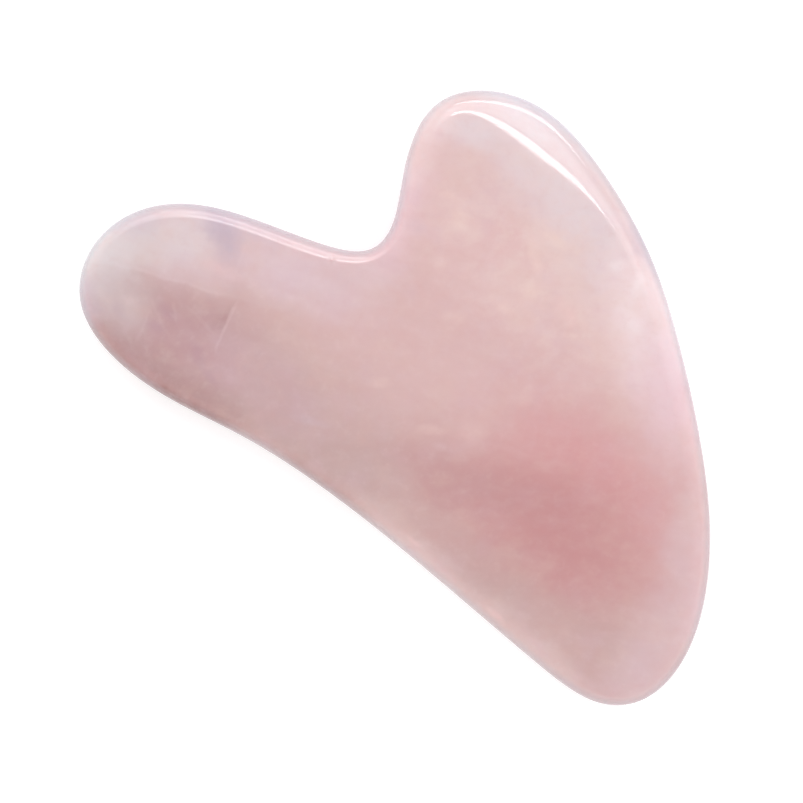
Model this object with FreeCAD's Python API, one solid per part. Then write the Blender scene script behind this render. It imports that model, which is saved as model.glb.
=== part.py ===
"""A gua sha scraper: one carved and polished plate of rose quartz, heart-shaped with one long lobe.

The stone lies flat. X runs along its length from the handle lobe to the broad end, Y across it towards the
horn, and Z up through its thickness. The origin is under the middle of its bounding box, on the face it
rests on. Both broad faces are flat and parallel. A ground and rounded rim joins them: narrow round the
handle and the hollow between handle and horn, and a wide bevel on the crown of the horn.
All sizes are in millimetres.
"""

import FreeCAD
import Part

import os

# Driving dimensions
LENGTH = 86.0  # overall, along X
THICKNESS = 6.5  # from one flat face to the other
BEVEL_DROP = 0.85  # how far a wide bevel falls below the flat face at its outer shoulder
NARROW_DROP = 0.34  # the same on a narrow rim, as a share of the rim's width
WAIST = 0.95  # half the height of the rim's upright middle

# Shares of the rim's local width, measured in from the outline
LEVEL_SHARE = 0.95  # the rim is still level with the face here, so the two meet with no crease
BREAK_SHARE = 0.62  # the bevel begins to fall away here
SHOULDER_SHARE = 0.25  # the bevel turns into the upright edge here

DEGREE = 3  # of the outline's spline and of the rim's section
LEVEL_TOLERANCE = 1e-4  # how closely an edge keeps to a flat face's height

# The outline's control points, anticlockwise from the tip of the handle: X, Y and the rim's width there.
# A closed cubic spline runs just inside them on the lobes.
OUTLINE = [
    # handle lobe
    (-43.7, -17.0, 2.0),
    (-41.3, -24.2, 2.2),
    (-34.0, -27.2, 2.0),
    # long edge, slightly hollow, drawn along the jaw
    (-25.0, -27.2, 1.8),
    (-15.0, -25.1, 1.8),
    (-5.0, -24.6, 1.9),
    (6.0, -24.9, 2.0),
    (18.0, -25.8, 2.0),
    (29.0, -26.7, 2.2),
    # broad end
    (37.6, -27.1, 2.7),
    (42.6, -23.0, 3.2),
    (43.4, -16.0, 3.4),
    # long convex edge
    (41.0, -8.5, 3.2),
    (36.0, -0.7, 3.0),
    (29.0, 6.6, 2.8),
    (21.0, 13.7, 2.8),
    (12.0, 20.7, 2.7),
    (2.0, 25.2, 3.4),
    # crown of the horn, with the widest bevel
    (-8.4, 28.1, 8.2),
    (-16.6, 25.4, 3.7),
    (-21.0, 19.8, 2.6),
    # inner side of the horn
    (-18.8, 12.0, 2.2),
    (-15.3, 6.2, 1.9),
    # root of the hollow
    (-15.1, 1.2, 1.75),
    (-20.0, -1.2, 1.85),
    # back of the handle
    (-27.5, -3.1, 1.9),
    (-35.4, -5.5, 1.9),
    (-41.2, -10.1, 2.0),
]


def closed_spline(points):
    """The closed uniform cubic spline with these control points."""
    count = len(points)
    curve = Part.BSplineCurve()
    curve.buildFromPolesMultsKnots(
        points, [1] * (count + 1), list(range(count + 1)), True, DEGREE
    )
    return curve


def fitted_outline():
    """(point, rim width) pairs for OUTLINE, moved to be centred on X and Y and scaled to LENGTH."""
    points = [FreeCAD.Vector(x, y, 0) for x, y, _ in OUTLINE]
    box = closed_spline(points).toShape().optimalBoundingBox(False)
    scale = LENGTH / box.XLength
    centre = FreeCAD.Vector(box.Center.x, box.Center.y, 0)
    return [
        ((point - centre) * scale, width * scale)
        for point, (_, _, width) in zip(points, OUTLINE)
    ]


def rim_section(width):
    """Control points of the rim's section, as (distance in from the outline, height over mid-plane)."""
    half = THICKNESS / 2
    drop = min(BEVEL_DROP, NARROW_DROP * width)
    upper = [
        (width, half),
        (width * LEVEL_SHARE, half),
        (width * BREAK_SHARE, half),
        (width * SHOULDER_SHARE, half - drop),
        (0, WAIST),
    ]
    lower = [(inward, -height) for inward, height in reversed(upper)]
    return upper + [(0, 0)] + lower


def rim_surface(outline):
    """The spline surface round the plate, from the border of one flat face over the edge to the other's."""
    count = len(outline)
    rows = []
    for i, (point, width) in enumerate(outline):
        along = outline[(i + 1) % count][0] - outline[i - 1][0]
        inward = FreeCAD.Vector(-along.y, along.x, 0).normalize()
        rows.append(
            [
                point + inward * distance + FreeCAD.Vector(0, 0, THICKNESS / 2 + height)
                for distance, height in rim_section(width)
            ]
        )
    spans = len(rows[0]) - DEGREE
    end = DEGREE + 1
    surface = Part.BSplineSurface()
    surface.buildFromPolesMultsKnots(
        rows,
        [1] * (count + 1),
        [end] + [1] * (spans - 1) + [end],
        list(range(count + 1)),
        list(range(spans + 1)),
        True,
        False,
        DEGREE,
        DEGREE,
    )
    return surface


def flat_face(rim, height):
    """The flat face whose border is the rim's closed edge at this height."""
    border = [
        edge
        for edge in rim.Edges
        if abs(edge.BoundBox.ZMin - height) < LEVEL_TOLERANCE
        and abs(edge.BoundBox.ZMax - height) < LEVEL_TOLERANCE
    ]
    return Part.Face(Part.Wire(border))


def scraper_stone():
    """The whole stone as one solid: two flat faces and the rim between them."""
    rim = rim_surface(fitted_outline()).toShape()
    shell = Part.Compound([rim, flat_face(rim, THICKNESS), flat_face(rim, 0)])
    shell.sewShape()
    stone = Part.Solid(shell.Shells[0])
    if stone.Volume < 0:
        stone.reverse()
    return stone


os.makedirs("parts", exist_ok=True)
stone = scraper_stone()
stone.exportStep("parts/scraper_stone.step")

size = stone.optimalBoundingBox(False)
print(f"scraper_stone: valid {stone.isValid()}, closed {stone.isClosed()}, {stone.Volume / 1000:.2f} cm3")
print(f"size {size.XLength:.2f} x {size.YLength:.2f} x {size.ZLength:.2f} mm, lowest point {size.ZMin:.3f}")
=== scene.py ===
"""The looks of the gua sha scraper: one polished plate of rose quartz on a pale studio floor.

Lengths are in metres unless a name ends in _MM. The stone lies flat in the row frame: X along it, Y across it
towards the horn, Z up through its thickness. The camera looks straight down, turned round Z by CAMERA_TURN.
"""

import math

import bpy
import numpy as np
from mathutils import Euler, Matrix, Vector, geometry, noise


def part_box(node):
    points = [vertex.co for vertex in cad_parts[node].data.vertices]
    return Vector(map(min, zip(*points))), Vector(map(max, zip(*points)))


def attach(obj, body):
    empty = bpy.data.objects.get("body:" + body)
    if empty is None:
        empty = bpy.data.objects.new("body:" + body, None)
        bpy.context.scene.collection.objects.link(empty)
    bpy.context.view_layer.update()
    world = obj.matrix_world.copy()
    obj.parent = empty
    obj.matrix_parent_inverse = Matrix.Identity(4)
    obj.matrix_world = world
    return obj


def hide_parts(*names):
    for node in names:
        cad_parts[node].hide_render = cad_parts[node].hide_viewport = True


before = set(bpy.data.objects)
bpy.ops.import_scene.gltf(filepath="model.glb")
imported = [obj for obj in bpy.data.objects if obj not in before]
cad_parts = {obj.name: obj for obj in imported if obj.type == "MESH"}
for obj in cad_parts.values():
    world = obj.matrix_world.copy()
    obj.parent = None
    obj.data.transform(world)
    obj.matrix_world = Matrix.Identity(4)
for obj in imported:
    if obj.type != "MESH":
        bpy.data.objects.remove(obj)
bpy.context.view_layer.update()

MM = 0.001
NODE = "scraper_stone"
STONE_LOW, STONE_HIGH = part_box(NODE)
LENGTH = STONE_HIGH[0] - STONE_LOW[0]
THICKNESS = STONE_HIGH[2] - STONE_LOW[2]

# ---------------------------------------------------------------------------------------------------------
# Shape

# The rim, as in the CAD part: how far its bevel drops (on a narrow rim, as a share of its width), half its
# upright middle, and shares of its width
BEVEL_DROP_MM = 0.85
NARROW_DROP = 0.34
WAIST_MM = 0.95
LEVEL_SHARE = 0.95
BREAK_SHARE = 0.62
SHOULDER_SHARE = 0.25

# The outline's control points, anticlockwise from the tip of the handle: X, Y and the rim's width there
OUTLINE_MM = [
    # handle lobe
    (-43.7, -17.0, 2.0),
    (-41.3, -24.2, 2.2),
    (-34.0, -27.2, 2.0),
    # long edge, slightly hollow
    (-25.0, -27.2, 1.8),
    (-15.0, -25.1, 1.8),
    (-5.0, -24.6, 1.9),
    (6.0, -24.9, 2.0),
    (18.0, -25.8, 2.0),
    (29.0, -26.7, 2.2),
    # broad end
    (37.6, -27.1, 2.7),
    (42.6, -23.0, 3.2),
    (43.4, -16.0, 3.4),
    # long convex edge
    (41.0, -8.5, 3.2),
    (36.0, -0.7, 3.0),
    (29.0, 6.6, 2.8),
    (21.0, 13.7, 2.8),
    (12.0, 20.7, 2.7),
    (2.0, 25.2, 3.4),
    # crown of the horn, with the widest bevel
    (-8.4, 28.1, 8.2),
    (-16.6, 25.4, 3.7),
    (-21.0, 19.8, 2.6),
    # inner side of the horn
    (-18.8, 12.0, 2.2),
    (-15.3, 6.2, 1.9),
    # root of the hollow
    (-15.1, 1.2, 1.75),
    (-20.0, -1.2, 1.85),
    # back of the handle
    (-27.5, -3.1, 1.9),
    (-35.4, -5.5, 1.9),
    (-41.2, -10.1, 2.0),
]

FITTING_STEPS = 200  # to each control point, when the outline's own box is measured
RIM_STEPS_PER_POINT = 24  # mesh steps along the rim, to each control point
RIM_STEPS_PER_SPAN = 8  # mesh steps across the rim, to each span of its section
FACE_SPACING_MM = 0.9  # between the mesh points inside the flat faces
CLEAR_SHARE = 0.6  # of that spacing, by which they keep clear of the faces' border
INSIDE_ONLY = 1  # the kind of triangulation that fills just the inside of a loop
MERGE_MM = 1e-6  # points nearer than this would become one
INSET = "inset"  # the mesh's attribute that says how far in from the outline a point is, in mm

POLISH_WAVE_MM = 9.0  # length of the slight waves that hand polishing leaves
POLISH_DEPTH_MM = 0.012

# A tiny chip that runs across the rim at the handle's back, near the root of the hollow
NICK_MM = (-18.9, -2.3)
NICK_HALF_MM = (0.45, 1.0)  # along the rim, and across it
NICK_TURN = 26.0  # the rim's direction there, in degrees
NICK_DEPTH_MM = 0.13


def cubic_basis(t):
    """Weights of four neighbouring control points of a uniform cubic spline, t of the way along a span."""
    return np.array(
        [
            (1 - t) ** 3,
            3 * t**3 - 6 * t**2 + 4,
            -3 * t**3 + 3 * t**2 + 3 * t + 1,
            t**3,
        ]
    ) / 6


def closed_spline(points, steps):
    """Points along a closed uniform cubic spline, so many steps to each span."""
    out = []
    for i in range(len(points)):
        four = points[[i - 1, i, (i + 1) % len(points), (i + 2) % len(points)]]
        for step in range(steps):
            out.append(np.tensordot(cubic_basis(step / steps), four, axes=1))
    return np.array(out)


def clamped_basis(count, steps):
    """Weights of each of count control points at each step along a clamped uniform cubic spline."""
    spans = count - 3
    knots = np.concatenate([[0] * 3, np.arange(spans + 1), [spans] * 3])
    rows = []
    for value in np.linspace(0, spans, spans * steps + 1):
        span = min(int(value), spans - 1)
        weights = np.zeros(count + 3)
        weights[span + 3] = 1
        for degree in (1, 2, 3):
            for i in range(count + 3 - degree):
                left = knots[i + degree] - knots[i]
                right = knots[i + degree + 1] - knots[i + 1]
                rising = (value - knots[i]) / left * weights[i] if left else 0
                falling = (knots[i + degree + 1] - value) / right * weights[i + 1] if right else 0
                weights[i] = rising + falling
        rows.append(weights[:count])
    return np.array(rows)


def fitted_outline():
    """(points, rim widths) in mm, centred on the CAD box and scaled to its length."""
    points = np.array([(x, y) for x, y, _ in OUTLINE_MM])
    widths = np.array([width for _, _, width in OUTLINE_MM])
    curve = closed_spline(points, FITTING_STEPS)
    low, high = curve.min(axis=0), curve.max(axis=0)
    scale = LENGTH / MM / (high[0] - low[0])
    return (points - (low + high) / 2) * scale, widths * scale


def rim_section(width):
    """The rim section's control points, in mm: (distance in from the outline, height over mid-plane)."""
    half = THICKNESS / MM / 2
    drop = min(BEVEL_DROP_MM, NARROW_DROP * width)
    upper = [
        (width, half),
        (width * LEVEL_SHARE, half),
        (width * BREAK_SHARE, half),
        (width * SHOULDER_SHARE, half - drop),
        (0, WAIST_MM),
    ]
    lower = [(inward, -height) for inward, height in reversed(upper)]
    return upper + [(0, 0)] + lower


def rim_rings():
    """Closed rings round the rim, from the upper face's border to the lower one's: (X, Y, Z, inset) in mm."""
    points, widths = fitted_outline()
    along = np.roll(points, -1, axis=0) - np.roll(points, 1, axis=0)
    inward = np.stack([-along[:, 1], along[:, 0]], axis=1)
    inward /= np.linalg.norm(inward, axis=1)[:, None]
    grid = []
    for point, direction, width in zip(points, inward, widths):
        column = [
            (*(point + direction * distance), height + THICKNESS / MM / 2, distance)
            for distance, height in rim_section(width)
        ]
        grid.append(column)
    grid = closed_spline(np.array(grid), RIM_STEPS_PER_POINT)
    weights = clamped_basis(grid.shape[1], RIM_STEPS_PER_SPAN)
    return np.einsum("rc,scx->rsx", weights, grid)


def inside_points(border):
    """A triangular grid of points inside a closed border, clear of it by most of a spacing, and how clear."""
    spacing = FACE_SPACING_MM
    low, high = border.min(axis=0), border.max(axis=0)
    row_height = spacing * math.sqrt(3) / 2
    xs = np.arange(low[0], high[0], spacing)
    ys = np.arange(low[1], high[1], row_height)
    grid = np.array([(x + (j % 2) * spacing / 2, y) for j, y in enumerate(ys) for x in xs])
    following = np.roll(border, -1, axis=0)
    crossings = np.zeros(len(grid), int)
    for (x0, y0), (x1, y1) in zip(border, following):
        spans = (grid[:, 1] >= y0) != (grid[:, 1] >= y1)
        if spans.any():
            at = x0 + (grid[:, 1] - y0) / (y1 - y0) * (x1 - x0)
            crossings += spans & (grid[:, 0] < at)
    inside = grid[crossings % 2 == 1]
    gap = np.linalg.norm(inside[:, None] - border[None], axis=2).min(axis=1)
    clear = gap > CLEAR_SHARE * spacing
    return inside[clear], gap[clear]


def stone_mesh():
    """The stone as one closed mesh: rings round the rim, and the flat faces filled with even triangles."""
    rings = rim_rings()
    count, steps = rings.shape[:2]
    vertices = [tuple(p[:3]) for ring in rings for p in ring]
    insets = [p[3] for ring in rings for p in ring]
    faces = []
    for r in range(count - 1):
        for s in range(steps):
            following = (s + 1) % steps
            upper, lower = r * steps, (r + 1) * steps
            faces.append((upper + s, lower + s, lower + following, upper + following))

    border = rings[0][:, :2]
    filling, gaps = inside_points(border)
    filling_insets = list(gaps + rings[0][:, 3].mean())
    flat = [Vector(p) for p in np.concatenate([border, filling])]
    loop = [(s, (s + 1) % steps) for s in range(steps)]
    made, _, triangles, *_ = geometry.delaunay_2d_cdt(flat, loop, [], INSIDE_ONLY, MERGE_MM)
    assert len(made) == len(flat)
    for ring, height in ((0, THICKNESS / MM), (count - 1, 0.0)):
        start = len(vertices)
        vertices += [(p.x, p.y, height) for p in flat[steps:]]
        insets += filling_insets
        for triangle in triangles:
            corners = [ring * steps + i if i < steps else start + i - steps for i in triangle]
            faces.append(tuple(corners) if ring == 0 else tuple(reversed(corners)))

    mesh = bpy.data.meshes.new("rose_quartz_stone")
    mesh.from_pydata([Vector(v) * MM for v in vertices], [], faces)
    mesh.attributes.new(INSET, "FLOAT", "POINT").data.foreach_set("value", insets)
    mesh.validate()
    mesh.update()
    mesh.shade_smooth()
    return mesh


def polish(mesh):
    """Moves the surface in by a few micrometres in slow waves, as hand polishing does."""
    normals = [v.normal.copy() for v in mesh.vertices]
    for vertex, normal in zip(mesh.vertices, normals):
        wave = noise.noise(vertex.co / MM / POLISH_WAVE_MM)
        vertex.co -= normal * (0.5 + 0.5 * wave) * POLISH_DEPTH_MM * MM
    mesh.update()


def nick(mesh):
    """Presses the tiny chip into the upper half of the rim."""
    turned = Matrix.Rotation(-math.radians(NICK_TURN), 2)
    for vertex in mesh.vertices:
        aside = turned @ (vertex.co.xy / MM - Vector(NICK_MM))
        far = math.hypot(aside.x / NICK_HALF_MM[0], aside.y / NICK_HALF_MM[1])
        if far < 1 and vertex.co.z > THICKNESS / 2:
            vertex.co -= vertex.normal * (1 - far**2) ** 2 * NICK_DEPTH_MM * MM
    mesh.update()


stone = bpy.data.objects.new("rose_quartz_stone", stone_mesh())
bpy.context.scene.collection.objects.link(stone)
polish(stone.data)
nick(stone.data)
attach(stone, "root")
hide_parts(NODE)

# ---------------------------------------------------------------------------------------------------------
# Material


def shade(red, green, blue):
    """A colour from its usual 0 to 255 values, as the shaders want it."""
    return tuple(((c / 255 + 0.055) / 1.055) ** 2.4 for c in (red, green, blue)) + (1.0,)


class Graph:
    """Makes shader nodes and joins them. A value is a number or another node's output."""

    def __init__(self, tree):
        self.tree = tree
        tree.nodes.clear()

    def node(self, kind, inputs=(), **settings):
        made = self.tree.nodes.new(kind)
        for name, value in settings.items():
            setattr(made, name, value)
        for name, value in dict(inputs).items():
            if isinstance(value, bpy.types.NodeSocket):
                self.tree.links.new(value, made.inputs[name])
            else:
                made.inputs[name].default_value = value
        return made

    def math(self, operation, a, b):
        return self.node("ShaderNodeMath", {0: a, 1: b}, operation=operation).outputs[0]

    def vector(self, operation, a, b=(0, 0, 0)):
        made = self.node("ShaderNodeVectorMath", {0: a, 1: b}, operation=operation)
        return made.outputs["Value" if operation == "DOT_PRODUCT" else "Vector"]

    def scaled(self, a, factor):
        return self.node("ShaderNodeVectorMath", {0: a, "Scale": factor}, operation="SCALE").outputs[0]

    def smooth(self, value, low, high, to_low=0.0, to_high=1.0):
        """to_low where value is at or under low, to_high at or over high, with a smooth step between."""
        inputs = {"Value": value, 1: low, 2: high, 3: to_low, 4: to_high}
        return self.node("ShaderNodeMapRange", inputs, interpolation_type="SMOOTHSTEP").outputs[0]

    def noise_node(self, where, size, detail, roughness):
        inputs = {"Vector": where, "Scale": 1 / size, "Detail": detail, "Roughness": roughness}
        return self.node("ShaderNodeTexNoise", inputs, noise_dimensions="3D")

    def noise(self, where, size, detail=3.0, roughness=0.5):
        """Cloudy noise about 0.5, with features about as large as size in mm."""
        return self.noise_node(where, size, detail, roughness).outputs[0]

    def drift(self, where, size, detail=3.0, roughness=0.5):
        """A vector of three such noises, about zero."""
        colour = self.noise_node(where, size, detail, roughness).outputs[1]
        return self.vector("SUBTRACT", colour, (0.5, 0.5, 0.5))

    def mix(self, factor, a, b, blend="MIX"):
        made = self.node("ShaderNodeMix", {0: factor, 6: a, 7: b}, data_type="RGBA", blend_type=blend)
        return made.outputs[2]

    def placed(self, where, centre, size=(1, 1, 1), turn=0.0):
        """where, seen from a frame at centre, turned by so many degrees round Z, in units of size."""
        inputs = {"Vector": where, 1: centre, 2: (0, 0, math.radians(turn)), 3: size}
        return self.node("ShaderNodeMapping", inputs, vector_type="TEXTURE").outputs[0]

    def cloud(self, where, centre, half, turn, strength, inner=0.2, outer=1.2):
        """strength in an ellipsoid of these half sizes, falling from inner times them to 0 at outer times."""
        local = self.placed(where, centre, [size * outer for size in half], turn)
        sphere = self.node("ShaderNodeTexGradient", {"Vector": local}, gradient_type="SPHERICAL")
        return self.smooth(sphere.outputs["Fac"], 0.0, 1 - inner / outer, 0.0, strength)

    def tinted(self, colour, value, layers, share=1.0):
        """colour with these layers mixed in, each of them stronger the nearer value is to the layer's end."""
        for start, end, strength, tint in layers:
            amount = self.smooth(value, start, end, 0.0, strength)
            colour = self.mix(self.math("MULTIPLY", share, amount), colour, tint)
        return colour


# Colours inside the stone. From the long edge up to the horn it goes from LOW through MIDDLE to HIGH
LOW = shade(202, 173, 171)
MIDDLE = shade(221, 189, 188)
HIGH = shade(228, 197, 196)
WHITE = shade(242, 226, 228)
CLOUD = shade(241, 223, 225)
RIME = shade(230, 220, 225)
MILK = shade(248, 237, 239)
ASH = shade(214, 198, 200)
CREAM = shade(232, 208, 204)
BEIGE = shade(226, 197, 195)
GREY = shade(229, 211, 213)
TIP = shade(227, 219, 221)
MAUVE = shade(224, 201, 206)
LAVENDER = shade(212, 195, 205)
MAUVE_TIP = shade(210, 198, 209)
PINK = shade(221, 194, 197)
LILAC = shade(201, 183, 196)
BLUSH = shade(233, 206, 213)
ROSE = shade(218, 165, 167)
DEEP = shade(209, 162, 161)
DEEPEST = shade(204, 152, 153)
DULL = shade(202, 160, 160)
BROWN = shade(210, 177, 175)
FAWN = shade(221, 196, 194)
DUSK = shade(199, 163, 166)
SALMON = shade(187, 152, 151)
PURPLE = shade(207, 176, 181)
# painted shade, for the rim along the long edge
SHADOW = shade(152, 104, 99)
VEIL = shade(238, 214, 207)
PETAL = shade(240, 208, 206)
SMOKE = shade(178, 142, 160)
WARM = shade(226, 198, 186)
COOL = shade(218, 190, 204)
EDGE_SHADE = (0.82, 0.86, 0.90, 1.0)  # painted shade and dark reflection: what the colour is multiplied by at the outline
EDGE_SHADE_MM = (0.1, 1.2)  # how far in from it that begins to fade, and ends

# Cloudy zones of another colour: centre and half sizes in mm, turn in degrees, strength, colour
ZONES = [
    # the horn: grey under its crown, warm patches, white on its long side, and a painted highlight on the rim
    # of its inner side
    ((-5.5, 22.5, 4), (21, 8.5, 12), -4, 0.95, GREY),
    ((6, 17, 4), (10, 7, 12), -30, 0.8, GREY),
    ((-11, 15.5, 4), (6.5, 5.5, 12), 20, 0.8, BEIGE),
    # painted highlight on the rim of the horn's inner side
    ((-18.8, 18, 4), (3.2, 5.5, 10), 8, 0.5, WHITE),
    ((15.3, 14.2, 4), (12, 6, 12), -43, 0.95, CLOUD),
    ((20, 13.0, 4), (5.5, 2.4, 12), -43, 0.7, MILK),
    ((11.5, 20.8, 4), (6.5, 2.0, 12), -33, 0.65, LAVENDER),
    ((13, 8.5, 4), (5, 3, 10), -20, 0.4, CREAM),
    ((-9.5, 27.0, 4), (16, 3.6, 12), 4, 0.9, RIME),
    ((-14.8, 20.2, 4), (4.5, 3.2, 12), 20, 0.45, RIME),
    ((3, 20.2, 4), (7, 3, 12), -12, 0.35, RIME),
    ((-14.8, 0, 4), (4.5, 4, 12), 0, 0.22, RIME),
    ((2.5, 14.5, 5), (5.5, 3.2, 8), -10, 0.7, CREAM),
    ((5, 9, 4), (9, 4.5, 12), 10, 0.45, CREAM),
    ((-9.5, 10, 4), (4, 3, 8), 20, 0.5, CREAM),
    ((23, 9, 4), (12, 5, 12), -45, 0.8, BLUSH),
    ((-15.5, 6, 4), (3.8, 9, 12), 8, 0.6, BLUSH),
    ((-17.3, 11.2, 4), (2.2, 4.2, 9), 12, 0.2, MILK),
    # the deep rose heart of the broad end, with a tongue towards the handle
    ((21.5, -5.4, 4), (18, 9.5, 14), -5, 0.9, ROSE),
    ((21, -13, 4), (22, 10.5, 14), 3, 0.85, DEEP),
    ((21, -12.5, 4), (14, 7, 12), 0, 0.9, DEEPEST),
    ((9, -14.5, 4), (12, 4.2, 12), 14, 0.7, DULL),
    ((7.5, -6, 4), (3.8, 7.5, 12), -20, 0.5, MIDDLE),
    ((9, -20.8, 4), (10, 3.2, 12), -3, 0.7, BROWN),
    ((32, -23, 4), (13, 4.4, 12), 0, 0.8, BROWN),
    ((39.5, -17, 4), (5.5, 11, 12), 0, 0.8, PINK),
    ((36, -4.5, 4), (12, 4, 12), -57, 0.7, PINK),
    ((10, -24.4, 4), (13, 3.2, 12), -2, 0.85, FAWN),
    ((26, -26.0, 4), (15, 2.5, 12), -2, 0.75, FAWN),
    # the handle: mauve back, grey tip, dusky red under its old crack, and a lilac cloud; painted shade along
    # the rim of its lower side and of the long edge
    ((-22, -6.2, 4), (12, 5.6, 12), 15, 0.9, MAUVE),
    ((-20.5, -1.6, 4), (6, 2.4, 12), 15, 0.6, MAUVE),
    ((-33, -11, 4), (7, 6.5, 12), 0, 0.7, MAUVE),
    ((-32.5, -4.8, 4), (11, 3.4, 12), 15, 0.8, LAVENDER),
    ((-36, -11, 4), (7.5, 4.4, 12), 35, 0.55, TIP),
    ((-28, -20, 4), (11.5, 6.5, 12), 8, 0.9, DUSK),
    ((-25.5, -12.5, 4), (3.5, 2.2, 12), 15, 0.2, DUSK),
    ((-22, -19.5, 4), (4.5, 4, 8), 0, 0.6, PURPLE),
    ((-15, -19, 4), (9, 4, 12), 5, 0.5, PURPLE),
    ((-27, -25.5, 4), (17, 4.5, 12), 2, 0.95, SALMON),
    # painted shade along the rim of the long edge under the handle
    ((-24, -27.8, 4), (15.5, 2.8, 12), 4, 0.9, SHADOW),
    ((-37.5, -21, 4), (6, 5, 10), -30, 0.85, ASH),
    ((-42.0, -16, 4), (5.4, 7.5, 12), -8, 0.95, TIP),
    ((-31.2, -7.2, 5), (4.6, 2.4, 9), -42, 0.78, LILAC),
    ((-42, -21.5, 4), (4, 4.5, 12), 20, 0.5, TIP),
    ((-40.2, -11.2, 4), (4.5, 2.4, 12), 52, 0.5, MAUVE_TIP),
    # painted shade on the rim of the tip's lower side and along the long edge
    ((-40.3, -24.2, 4), (5.5, 2.2, 12), -48, 0.5, LILAC),
    ((-34, -26.6, 4), (5.5, 2.6, 12), -8, 0.12, SHADOW),
    ((-3, -26.0, 4), (13, 2.2, 12), -2, 0.25, SHADOW),
]

# Small veils and flecks, with sharper edges: centre and half sizes in mm, turn in degrees, strength, colour
FLECKS = [
    # in the horn
    ((-9.2, 10.3), (2.4, 1.3), -44, 0.55, VEIL),
    ((-12.0, 12.2), (2.6, 0.8), 8, 0.35, VEIL),
    ((0.4, 12.2), (3.0, 1.0), -38, 0.55, VEIL),
    ((2.3, 8.4), (1.5, 2.1), 10, 0.4, VEIL),
    ((1.6, 15.3), (3.3, 0.9), 12, 0.5, VEIL),
    ((0.8, 5.3), (2.4, 1.0), 5, 0.3, VEIL),
    ((-8.3, 5.2), (1.7, 1.3), 0, 0.35, VEIL),
    ((7.4, 9.2), (2.3, 1.3), -30, 0.4, PETAL),
    ((9.3, 7.1), (1.5, 0.7), 15, 0.4, VEIL),
    ((8.8, 17.0), (1.5, 1.0), 40, 0.45, MILK),
    ((12.2, 16.8), (1.9, 1.0), -60, 0.45, MILK),
    ((14.6, 12.6), (2.1, 1.4), -30, 0.45, MILK),
    ((-13.2, 6.8), (1.8, 1.5), 0, 0.15, LILAC),
    # in the body
    ((-3.2, 0.8), (2.2, 1.2), 35, 0.3, VEIL),
    ((9.0, -1.5), (1.4, 2.6), 10, 0.2, VEIL),
    ((6.8, -8.7), (2.0, 1.6), 45, 0.25, VEIL),
    ((2.4, -11.6), (2.5, 0.8), 32, 0.3, VEIL),
    ((4.7, -12.5), (1.5, 0.7), 25, 0.12, MILK),
    ((-5.6, -10.6), (1.9, 0.9), 38, 0.3, VEIL),
    ((-9.8, -19.1), (3.4, 0.7), 22, 0.3, LAVENDER),
    # in the handle
    ((-24.3, -10.4), (1.9, 1.1), -10, 0.12, MILK),
    ((-19.5, -8.6), (5.0, 0.9), 17, 0.1, MILK),
    ((-28.8, -10.9), (3.2, 0.9), 12, 0.25, PETAL),
    ((-35.3, -20.3), (1.8, 1.1), 10, 0.12, WHITE),
    ((-31.0, -18.7), (1.9, 1.1), -10, 0.22, SMOKE),
    ((-31.2, -20.9), (1.8, 1.0), 20, 0.22, SMOKE),
    ((-35.9, -22.0), (1.5, 1.0), -20, 0.18, SMOKE),
    ((-25.3, -20.8), (2.2, 1.1), -35, 0.2, SMOKE),
    ((-22.7, -21.8), (2.2, 0.8), -15, 0.2, SMOKE),
    # painted glints of light in the rim of the long edge
    ((8.7, -23.6), (1.5, 0.5), -5, 0.35, PETAL),
    ((21.6, -24.9), (1.9, 0.45), -2, 0.4, PETAL),
]

# Old healed cracks, as fine pale lines: ends in mm, half width in mm, strength
CRACKS = [
    ((-25.3, -12.4), (-23.5, -20.0), 0.30, 0.12),
    ((-41.0, -18.4), (-25.4, -12.4), 0.30, 0.06),
    ((-31.5, -17.1), (-29.4, -19.2), 0.32, 0.06),
    ((-32.9, -19.5), (-31.7, -24.2), 0.32, 0.06),
    ((-30.6, -16.6), (-24.8, -17.6), 0.32, 0.05),
    ((-28.0, -7.0), (-27.2, -10.6), 0.32, 0.05),
    ((-34.4, -18.2), (-28.6, -21.3), 0.32, 0.05),
]

# The pane between the two longest cracks is darker, most of all in their corner, and a band over it is paler
CRACK_CORNER = (-25.3, -12.4, 0)  # where the two cracks meet
CRACK_BACK = 21.5  # which way the one along the handle runs, in degrees
CRACK_ACROSS = -76.0  # and the one across it
BACK_EDGE_MM = (-0.5, 0.15)  # how far beyond the first one the pane begins to fade, and ends
ACROSS_EDGE_MM = (-0.35, 0.05)  # and the same for the other
PANE = ((-33.5, -17.5, 4), (12, 6.5, 40))  # the pane's centre and half sizes
PANE_STRENGTH = 0.17
CORNER_STRENGTH = 0.6
CORNER_SPREAD = 0.62  # how fast the darkest corner widens along the crack across the handle
CORNER_SIDE_MM = (-0.4, 1.5)  # where its slanting side begins, and where it is all there
CORNER_END_MM = (3.9, 5.1)  # how far along that crack it begins to fade, and ends
BAND = ((-31, -12, 4), (17, 12, 40))  # the band's centre and half sizes
BAND_STRENGTH = 0.08
BAND_MM = 4.0  # how far over the crack it ends

LEAN = (0.18, 0.10)  # how far the stone's inside leans over, per mm of depth

# Noises that bend the features out of their plain shapes: size in mm, detail, roughness
SLOW_DRIFT = (11, 1)
QUICK_DRIFT = (3.0, 3, 0.6)
STRONGLY_MM = (4.5, 2.6)  # how far the slow and the quick one bend the zones
GENTLY_MM = (2.5, 0.7)  # and the streaks and wisps
NEARLY_MM = 1.1  # how far the quick one alone bends the cracks and flecks

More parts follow.
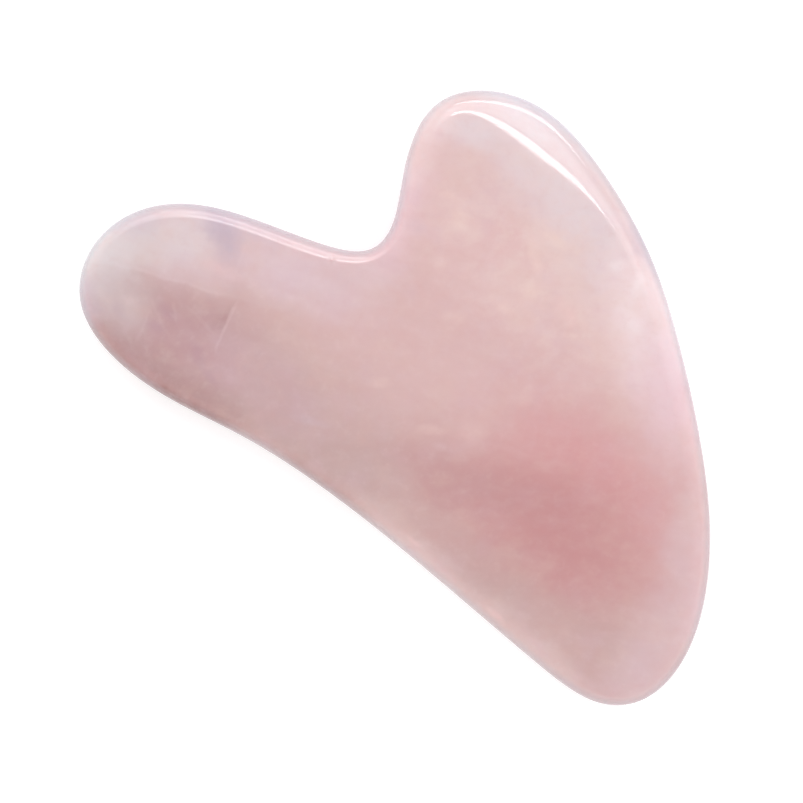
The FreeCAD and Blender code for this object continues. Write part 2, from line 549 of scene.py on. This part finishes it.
# Layers of fine unevenness: the noise's value where one starts and where it is all there, strength, colour
STREAKS = [(0.45, 0.75, 0.06, WHITE), (0.55, 0.28, 0.09, DEEP)]
TINTS = [(0.5, 0.7, 0.13, WARM), (0.5, 0.3, 0.13, COOL)]
WISPS = [(0.42, 0.72, 1.0, CREAM)]
MOTTLING = [(0.5, 0.75, 0.08, WHITE), (0.5, 0.25, 0.09, DEEP)]
STREAK_MM = (7, 2.2, 4)  # length, width and height of the streaks
STREAK_TURN = 24.0  # which way they run, in degrees
WISP_MM = (2.8, 1.7, 3)
WISP_TURN = 50.0
TINT_MM = 4.0  # size of the tints' patches
MOTTLING_MM = 1.3  # and of the mottling's spots
OTHER_WISPS = 0.08  # strength of the wisps everywhere
HORN_WISPS = 0.52  # and how much stronger they are in the horn
HEART_EVENNESS = 0.5  # share of the tints and mottling that the rose heart does without

# Places in the stone: centre and half sizes in mm, turn in degrees
HORN = ((1, 11, 4), (22, 11, 14), -15)
HEART = ((21.0, -11.0, 4.0), (20, 12, 14), 0)
HANDLE_BACK = ((-29.0, -4.5, 3.0), (22, 7, 12), 24.0)

# Surface and inside
SMEAR_MM = 3.0  # size of the faint smears in the polish
POLISH_ROUGHNESS = (0.05, 0.11)  # between them and in them
HANDLE_BACK_ROUGHER = 0.14  # the rim at the handle's back is polished less finely
RIPPLE_MM = 2.5  # length of the finest ripples
RIPPLE_HEIGHT_MM = 0.02
RIPPLE_STRENGTH = 0.2
QUARTZ_IOR = 1.54
SCATTER_MM = 1.6  # how far light wanders inside
SCATTER_SHARES = (1.0, 0.85, 0.85)  # of that, for red, green and blue


def crack_line(g, where, start, end, half_width):
    """1 along a thin line from start to end, fading at its edges and ends."""
    middle = ((start[0] + end[0]) / 2, (start[1] + end[1]) / 2, 0)
    run = (end[0] - start[0], end[1] - start[1])
    turn = math.degrees(math.atan2(run[1], run[0]))
    size = (math.hypot(*run) / 2, half_width, 1)
    local = g.node("ShaderNodeSeparateXYZ", {0: g.vector("ABSOLUTE", g.placed(where, middle, size, turn))})
    along = g.smooth(local.outputs["X"], 0.5, 1.0, 1.0, 0.0)
    return g.math("MULTIPLY", along, g.smooth(local.outputs["Y"], 0.2, 1.0, 1.0, 0.0))


def places_inside(g, where):
    """Where the stone's inner features are looked up, bent by noise: strongly, gently and hardly at all."""
    height = g.node("ShaderNodeSeparateXYZ", {0: where}).outputs["Z"]
    depth = g.math("SUBTRACT", THICKNESS / MM, height)
    shift_x, shift_y = (g.math("MULTIPLY", depth, lean) for lean in LEAN)
    shift = g.node("ShaderNodeCombineXYZ", {0: shift_x, 1: shift_y})
    inside = g.vector("ADD", where, shift.outputs[0])

    slow = g.drift(where, *SLOW_DRIFT)
    quick = g.drift(where, *QUICK_DRIFT)

    def bent(slow_mm, quick_mm):
        return g.vector("ADD", inside, g.vector("ADD", g.scaled(slow, slow_mm), g.scaled(quick, quick_mm)))

    nearly = g.vector("ADD", inside, g.scaled(quick, NEARLY_MM))
    return inside, bent(*STRONGLY_MM), bent(*GENTLY_MM), nearly


def zoned_colour(g, bent):
    """The cloudy zones, among them painted shade along the rim and a painted highlight on the horn's rim,
    over a colour that goes from LOW at the long edge to HIGH in the horn.
    """
    across = g.node("ShaderNodeSeparateXYZ", {0: bent}).outputs["Y"]
    colour = g.mix(g.smooth(across, -23, -5), LOW, MIDDLE)
    colour = g.mix(g.smooth(across, -4, 14), colour, HIGH)
    for centre, half, turn, strength, tint in ZONES:
        colour = g.mix(g.cloud(bent, centre, half, turn, strength), colour, tint)
    return colour


def between_cracks(g, colour, nearly):
    """colour, darker in the pane and its corner and paler in the band over it.

    In each crack's own frame X runs along it from the corner, in mm, and Y to the left of that.
    """
    back = g.node("ShaderNodeSeparateXYZ", {0: g.placed(nearly, CRACK_CORNER, turn=CRACK_BACK)})
    cross = g.node("ShaderNodeSeparateXYZ", {0: g.placed(nearly, CRACK_CORNER, turn=CRACK_ACROSS)})
    below = g.smooth(back.outputs["Y"], *BACK_EDGE_MM, 1.0, 0.0)
    left = g.smooth(cross.outputs["Y"], *ACROSS_EDGE_MM, 1.0, 0.0)
    wide = g.cloud(nearly, *PANE, CRACK_BACK, PANE_STRENGTH, 0.2, 1.0)
    widening = g.math("MULTIPLY", cross.outputs["X"], CORNER_SPREAD)
    in_corner = g.smooth(g.math("ADD", cross.outputs["Y"], widening), *CORNER_SIDE_MM)
    to_end = g.smooth(cross.outputs["X"], *CORNER_END_MM, CORNER_STRENGTH, 0.0)
    in_corner = g.math("MULTIPLY", in_corner, to_end)
    pane = g.math("ADD", wide, in_corner)
    colour = g.mix(g.math("MULTIPLY", pane, g.math("MULTIPLY", below, left)), colour, SALMON)

    over = g.smooth(back.outputs["Y"], 0.0, BAND_MM, BAND_STRENGTH, 0.0)
    over = g.math("MULTIPLY", over, g.math("SUBTRACT", 1.0, below))
    along = g.cloud(nearly, *BAND, CRACK_BACK, 1.0, 0.4, 1.0)
    return g.mix(g.math("MULTIPLY", over, along), colour, TIP)


def textured(g, colour, inside, gently, nearly):
    """Adds faint streaks and tints, milky wisps, flecks with two painted glints on the rim, and a faint
    mottling.
    """
    uneven = g.math("SUBTRACT", 1.0, g.cloud(inside, *HEART, HEART_EVENNESS))
    streaks = g.noise(g.placed(gently, (0, 0, 0), STREAK_MM, STREAK_TURN), 1, 3, 0.6)
    colour = g.tinted(colour, streaks, STREAKS)
    colour = g.tinted(colour, g.noise(inside, TINT_MM, 3, 0.6), TINTS, uneven)

    wisps = g.noise(g.placed(gently, (3, 2, 1), WISP_MM, WISP_TURN), 1, 4, 0.6)
    milkiness = g.math("ADD", OTHER_WISPS, g.cloud(inside, *HORN, HORN_WISPS, 0.3, 1.1))
    colour = g.tinted(colour, wisps, WISPS, milkiness)
    ragged = g.smooth(wisps, 0.3, 0.6, 0.45, 1.0)
    for (x, y), (half_x, half_y), turn, strength, tint in FLECKS:
        fleck = g.cloud(nearly, (x, y, 4), (half_x, half_y, 20), turn, strength, 0.1, 1.1)
        colour = g.mix(g.math("MULTIPLY", ragged, fleck), colour, tint)
    return g.tinted(colour, g.noise(inside, MOTTLING_MM, 3, 0.6), MOTTLING, uneven)


def quartz_colour(g, where):
    """The stone's colour: cloudy zones, faint streaks, milky wisps and flecks, and old healed cracks, with
    painted shade, a painted highlight and painted glints at its rim.
    """
    inside, bent, gently, nearly = places_inside(g, where)
    colour = zoned_colour(g, bent)
    colour = between_cracks(g, colour, nearly)
    colour = textured(g, colour, inside, gently, nearly)
    lines = 0.0
    for start, end, half_width, strength in CRACKS:
        line = crack_line(g, nearly, start, end, half_width)
        lines = g.math("MAXIMUM", lines, g.math("MULTIPLY", line, strength))
    return g.mix(lines, colour, WHITE)


def rose_quartz():
    """Polished rose quartz: light goes a few millimetres into it, and its surface is nearly a mirror."""
    material = bpy.data.materials.new("rose_quartz")
    material.use_nodes = True
    g = Graph(material.node_tree)
    where = g.scaled(g.node("ShaderNodeTexCoord").outputs["Object"], 1 / MM)

    colour = quartz_colour(g, where)
    inset = g.node("ShaderNodeAttribute", attribute_name=INSET).outputs["Fac"]
    # painted shade and dark reflection along the outline, fading inwards
    colour = g.mix(g.smooth(inset, *EDGE_SHADE_MM, 1.0, 0.0), colour, EDGE_SHADE, "MULTIPLY")
    smears = g.smooth(g.noise(where, SMEAR_MM, 4), 0.3, 0.7, *POLISH_ROUGHNESS)
    duller = g.cloud(where, *HANDLE_BACK, HANDLE_BACK_ROUGHER, 0.4, 1.0)
    roughness = g.math("ADD", smears, duller)
    ripple = g.noise(where, RIPPLE_MM, 2)
    bump_inputs = {"Height": ripple, "Strength": RIPPLE_STRENGTH, "Distance": RIPPLE_HEIGHT_MM * MM}
    bump = g.node("ShaderNodeBump", bump_inputs)

    surface = g.node(
        "ShaderNodeBsdfPrincipled",
        {
            "Base Color": colour,
            "Roughness": roughness,
            "IOR": QUARTZ_IOR,
            "Subsurface Weight": 1.0,
            "Subsurface Radius": SCATTER_SHARES,
            "Subsurface Scale": SCATTER_MM * MM,
            "Normal": bump.outputs[0],
        },
        subsurface_method="RANDOM_WALK",
    )
    g.node("ShaderNodeOutputMaterial", {"Surface": surface.outputs[0]})
    return material


stone.data.materials.append(rose_quartz())

# ---------------------------------------------------------------------------------------------------------
# Studio

CAMERA_TURN = math.radians(36)  # the view's right-hand side, from +X
VIEW_CENTRE_MM = (-2.36, -10.97)  # what the middle of the view shows
VIEW_WIDTH_MM = 95.8
LENS_MM = 200.0
SENSOR_MM = 36.0

FLOOR_HALF = 1.5  # half the floor's side
FLOOR_GAP_MM = 0.03  # between it and the stone
FLOOR_GREY = (0.75, 0.75, 0.75, 1.0)
FLOOR_GLOW = 0.42  # the light that it gives off by itself
FLOOR_REFLECTED = 0.25  # how much of that is seen in reflections

WINDOW = (78, 42)  # where the window is: azimuth and zenith angle in degrees, as across_view takes them
WINDOW_EDGE = (0.76, 0.98)  # cosines of the angles from it where its glow begins and is full
ROOM_SIDE = (65, 90)  # which side the room is a little brighter on, in the same way
ROOM_EVEN = 1.07  # the studio's brightness, as it lights things
ROOM_LEAN = 0.15  # as a share, how much brighter than that it is on that side, and darker on the other
ROOM_DARK = 0.4  # its brightness as it is seen in reflections, away from the window
ROOM_BRIGHT = 3.3  # and towards it


def across_view(azimuth, zenith):
    """A direction: azimuth anticlockwise from the view's right, zenith from straight up, in degrees."""
    turned = math.radians(azimuth) + CAMERA_TURN
    tilted = math.radians(zenith)
    return Vector(
        (math.cos(turned) * math.sin(tilted), math.sin(turned) * math.sin(tilted), math.cos(tilted))
    )


def lay_floor():
    """A plain pale floor under the stone."""
    mesh = bpy.data.meshes.new("floor")
    low = STONE_LOW[2] - FLOOR_GAP_MM * MM
    corners = [(x * FLOOR_HALF, y * FLOOR_HALF, low) for x, y in ((-1, -1), (1, -1), (1, 1), (-1, 1))]
    mesh.from_pydata(corners, [], [(0, 1, 2, 3)])
    floor = bpy.data.objects.new("floor", mesh)
    bpy.context.scene.collection.objects.link(floor)
    material = bpy.data.materials.new("studio_white")
    material.use_nodes = True
    g = Graph(material.node_tree)
    lit = g.node("ShaderNodeBsdfDiffuse", {"Color": FLOOR_GREY})
    reflected = g.node("ShaderNodeLightPath").outputs["Is Glossy Ray"]
    dimmer = g.math("MULTIPLY", reflected, FLOOR_GLOW - FLOOR_REFLECTED)
    glow = g.node("ShaderNodeEmission", {"Strength": g.math("SUBTRACT", FLOOR_GLOW, dimmer)})
    surface = g.node("ShaderNodeAddShader", {0: lit.outputs[0], 1: glow.outputs[0]})
    g.node("ShaderNodeOutputMaterial", {"Surface": surface.outputs[0]})
    mesh.materials.append(material)


def light_room():
    """Even white light from all round. Reflections see a room that is bright on its window side."""
    world = bpy.data.worlds.new("studio")
    bpy.context.scene.world = world
    world.use_nodes = True
    g = Graph(world.node_tree)
    direction = g.node("ShaderNodeTexCoord").outputs["Generated"]
    towards_window = g.vector("DOT_PRODUCT", direction, tuple(across_view(*WINDOW)))
    room = g.smooth(towards_window, *WINDOW_EDGE, ROOM_DARK, ROOM_BRIGHT)
    sideways = g.vector("DOT_PRODUCT", direction, tuple(across_view(*ROOM_SIDE)))
    lit = g.math("MULTIPLY", ROOM_EVEN, g.math("ADD", 1.0, g.math("MULTIPLY", sideways, ROOM_LEAN)))
    reflected = g.node("ShaderNodeLightPath").outputs["Is Glossy Ray"]
    strength = g.math("ADD", lit, g.math("MULTIPLY", reflected, g.math("SUBTRACT", room, lit)))
    background = g.node("ShaderNodeBackground", {"Color": (1, 1, 1, 1), "Strength": strength})
    g.node("ShaderNodeOutputWorld", {"Surface": background.outputs[0]})


def add_strip(name, shape, azimuth, zenith, length, width, brightness):
    """A long soft light that shows only in reflections, a metre away and square on to the stone."""
    data = bpy.data.lights.new(name, "AREA")
    data.shape = shape
    data.size = length
    data.size_y = width
    area = length * width * (math.pi / 4 if shape == "ELLIPSE" else 1)
    data.energy = brightness * math.pi * area
    light = bpy.data.objects.new(name, data)
    bpy.context.scene.collection.objects.link(light)
    away = across_view(azimuth, zenith)
    sideways = Vector((0, 0, 1)).cross(away).normalized()
    upward = away.cross(sideways)
    light.matrix_world = Matrix.Translation(away) @ Matrix((sideways, upward, away)).transposed().to_4x4()
    light.visible_camera = False
    light.visible_diffuse = False
    light.visible_transmission = False
    light.visible_volume_scatter = False


def place_camera():
    """Straight above the stone, far off, turned so that the stone's length falls away to the right."""
    data = bpy.data.cameras.new("camera")
    data.sensor_width = SENSOR_MM
    data.lens = LENS_MM
    camera = bpy.data.objects.new("camera", data)
    bpy.context.scene.collection.objects.link(camera)
    distance = VIEW_WIDTH_MM * LENS_MM / SENSOR_MM
    camera.location = (
        VIEW_CENTRE_MM[0] * MM,
        VIEW_CENTRE_MM[1] * MM,
        THICKNESS / 2 + distance * MM,
    )
    camera.rotation_euler = Euler((0, 0, CAMERA_TURN))
    bpy.context.scene.camera = camera


lay_floor()
light_room()
add_strip("window_high", "RECTANGLE", azimuth=74, zenith=17.5, length=0.35, width=0.16, brightness=7.5)
add_strip("window_low", "ELLIPSE", azimuth=75, zenith=74, length=1.2, width=0.22, brightness=5)
place_camera()
bpy.context.scene.view_settings.view_transform = "Standard"
